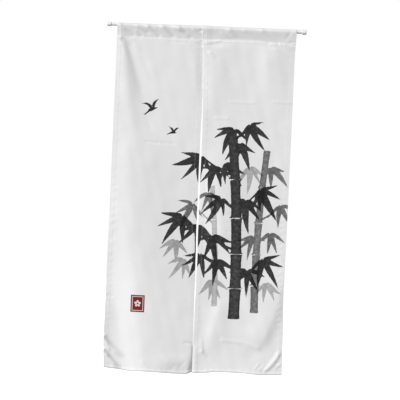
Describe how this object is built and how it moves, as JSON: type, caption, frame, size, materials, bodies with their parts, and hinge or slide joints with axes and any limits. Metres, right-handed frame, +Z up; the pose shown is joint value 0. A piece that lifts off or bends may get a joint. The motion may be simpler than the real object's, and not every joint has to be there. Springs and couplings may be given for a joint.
{
  "type": "noren curtain on a tension rod",
  "caption": "Two-panel doorway curtain of white cloth with a sewn rod pocket, hanging on a telescopic tension rod, with an ink bamboo print.",
  "frame": {"origin": "centre of the flat end of the rod's left cap, on the rod's axis", "axes": "+X along the rod to its right end, +Z up, and the cloth's printed front faces -Y"},
  "size_m": [0.864, 0.0342, 1.5148],
  "materials": {
    "cloth": "plain-woven white polyester with an ink print",
    "rod": "white enamel, satin",
    "cap": "matte white rubber"
  },
  "bodies": {
    "root": {"panel_left": "cloth", "panel_right": "cloth", "rod_inner_tube": "rod", "rod_outer_tube": "rod", "rod_cap_left": "cap", "rod_cap_right": "cap"}
  },
  "joints": []
}
